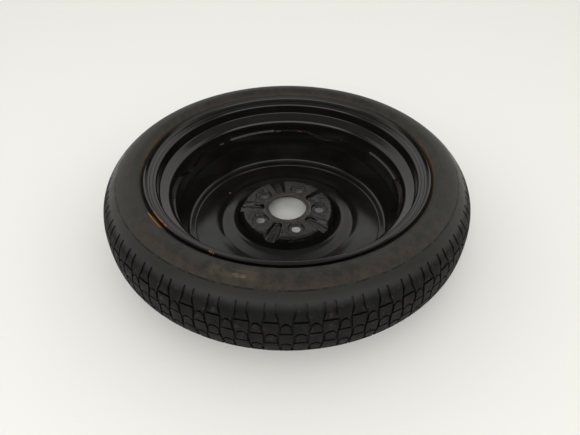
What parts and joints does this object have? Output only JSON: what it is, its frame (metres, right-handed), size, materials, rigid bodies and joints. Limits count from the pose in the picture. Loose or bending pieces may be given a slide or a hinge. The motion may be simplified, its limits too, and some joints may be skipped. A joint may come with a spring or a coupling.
{
  "type": "spare wheel",
  "caption": "Space saver spare wheel: narrow temporary tyre on a black steel wheel with a deep dished disc, welded skirt, pierced hub face and rubber snap-in valve, lying inboard side up.",
  "frame": {"origin": "centre of the underside of the lying wheel, on the wheel's axis and on the floor", "axes": "+Z along the wheel's axis and up, from the outboard side that lies on the floor to the inboard side on top; +X to the right and -Y towards the viewer as the picture sees the wheel"},
  "size_m": [0.612, 0.612, 0.138],
  "materials": {
    "tyre": "matt, dusty black rubber",
    "black_paint": "semi-gloss black paint on rolled and pressed steel",
    "weld_paint": "rippled weld under thin black paint with a little rust",
    "valve_rubber": "satin black rubber",
    "brass": "turned brass",
    "spring_steel": "bright wire",
    "white_seal": "white sealing plastic",
    "cap_plastic": "moulded black plastic"
  },
  "bodies": {
    "wheel": {"tyre": "tyre", "wheel_rim": "black_paint", "wheel_disc": "black_paint", "weld_bead_1": "weld_paint", "weld_bead_2": "weld_paint", "weld_bead_3": "weld_paint", "weld_bead_4": "weld_paint", "valve_body": "valve_rubber", "valve_stem": "brass", "core_plug": "brass", "core_barrel": "brass", "core_gasket": "white_seal", "core_spring": "spring_steel"},
    "valve_pin": {"core_pin": "brass", "core_cup": "brass", "core_seal": "valve_rubber"},
    "cap": {"valve_cap": "cap_plastic", "cap_seal": "valve_rubber"}
  },
  "joints": [
    {"name": "valve_press", "type": "slide", "parent": "wheel", "child": "valve_pin", "axis": [-0.3528, -0.2326, 0.9063], "range_m": [0, 0.0012], "stiffness_N_per_m": 300, "springref_m": -0.004, "deforming": ["core_spring"]},
    {"name": "cap_off", "type": "slide", "parent": "wheel", "child": "cap", "axis": [0.3528, 0.2326, -0.9063], "range_m": [0, 0.008]}
  ]
}
